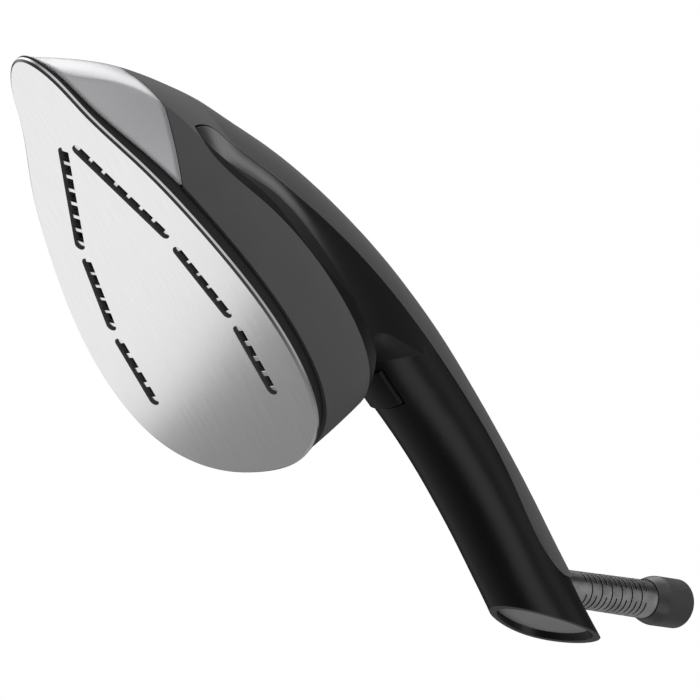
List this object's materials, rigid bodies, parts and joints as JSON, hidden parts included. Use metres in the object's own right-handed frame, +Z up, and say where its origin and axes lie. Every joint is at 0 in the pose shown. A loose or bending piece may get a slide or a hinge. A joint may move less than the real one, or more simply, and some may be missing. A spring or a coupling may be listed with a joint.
{
  "type": "clothes iron",
  "caption": "Hand-held steam iron head with a pointed soleplate, an arched handle with a steam trigger below it, and a flexible sleeve for the steam hose.",
  "frame": {"origin": "middle of the soleplate, on its ironing face", "axes": "+X to the nose, +Y to the left, +Z up from the soleplate"},
  "size_m": [0.4069, 0.1012, 0.1779],
  "materials": {
    "steel": "polished, finely brushed",
    "dark_grey_plastic": "fine grain, satin",
    "black_gloss_plastic": "satin gloss",
    "black_band_plastic": "matt",
    "silver_plastic": "silver lacquer",
    "grey_plastic": "fine grain",
    "black_trigger_plastic": "satin",
    "sleeve_rubber": "smooth",
    "cuff_plastic": "satin",
    "cast_aluminium": "as cast",
    "element_steel": "plain",
    "silicone": "matt",
    "elbow_brass": "plain",
    "thermostat_plastic": "matt",
    "fuse_metal": "plain",
    "shield_aluminium": "rolled",
    "loom_rubber": "matt",
    "plunger_plastic": "satin"
  },
  "bodies": {
    "iron": {"soleplate": "steel", "body_shell": "dark_grey_plastic", "handle_shell": "black_gloss_plastic", "heat_band": "black_band_plastic", "nose_cap": "silver_plastic", "end_plate": "grey_plastic", "strain_relief": "sleeve_rubber", "hose_cuff": "cuff_plastic", "heater_casting": "cast_aluminium", "chamber_cover": "cast_aluminium", "heating_element": "element_steel", "trigger_pin": "element_steel", "trigger_spring": "element_steel", "clamp_screw": "element_steel", "tube_clip_1": "element_steel", "tube_clip_2": "element_steel", "band_screw_1": "element_steel", "band_screw_2": "element_steel", "band_screw_3": "element_steel", "band_screw_4": "element_steel", "chamber_screw_1": "element_steel", "chamber_screw_2": "element_steel", "chamber_screw_3": "element_steel", "chamber_screw_4": "element_steel", "chamber_screw_5": "element_steel", "chamber_screw_6": "element_steel", "chamber_gasket": "silicone", "steam_tube": "silicone", "steam_elbow": "elbow_brass", "thermostat": "thermostat_plastic", "terminal_block": "thermostat_plastic", "microswitch": "thermostat_plastic", "hose_clamp": "thermostat_plastic", "thermal_fuse": "fuse_metal", "heat_shield": "shield_aluminium", "wiring_loom": "loom_rubber"},
    "trigger": {"trigger": "black_trigger_plastic"},
    "plunger": {"switch_plunger": "plunger_plastic"}
  },
  "joints": [
    {"name": "trigger_press", "type": "hinge", "parent": "iron", "child": "trigger", "pos_m": [-0.1035, 0, 0.081], "axis": [0, 1, 0], "range_deg": [0, 7], "stiffness_Nm_per_rad": 0.4, "springref_deg": -2.86, "deforming": ["trigger_spring"]},
    {"name": "plunger_slide", "type": "slide", "parent": "iron", "child": "plunger", "axis": [0, 0, 1], "range_m": [0, 0.0016]}
  ],
  "couplings": [
    {"joint": "plunger_slide", "follows": "trigger_press", "m_per_rad": 0.013}
  ]
}
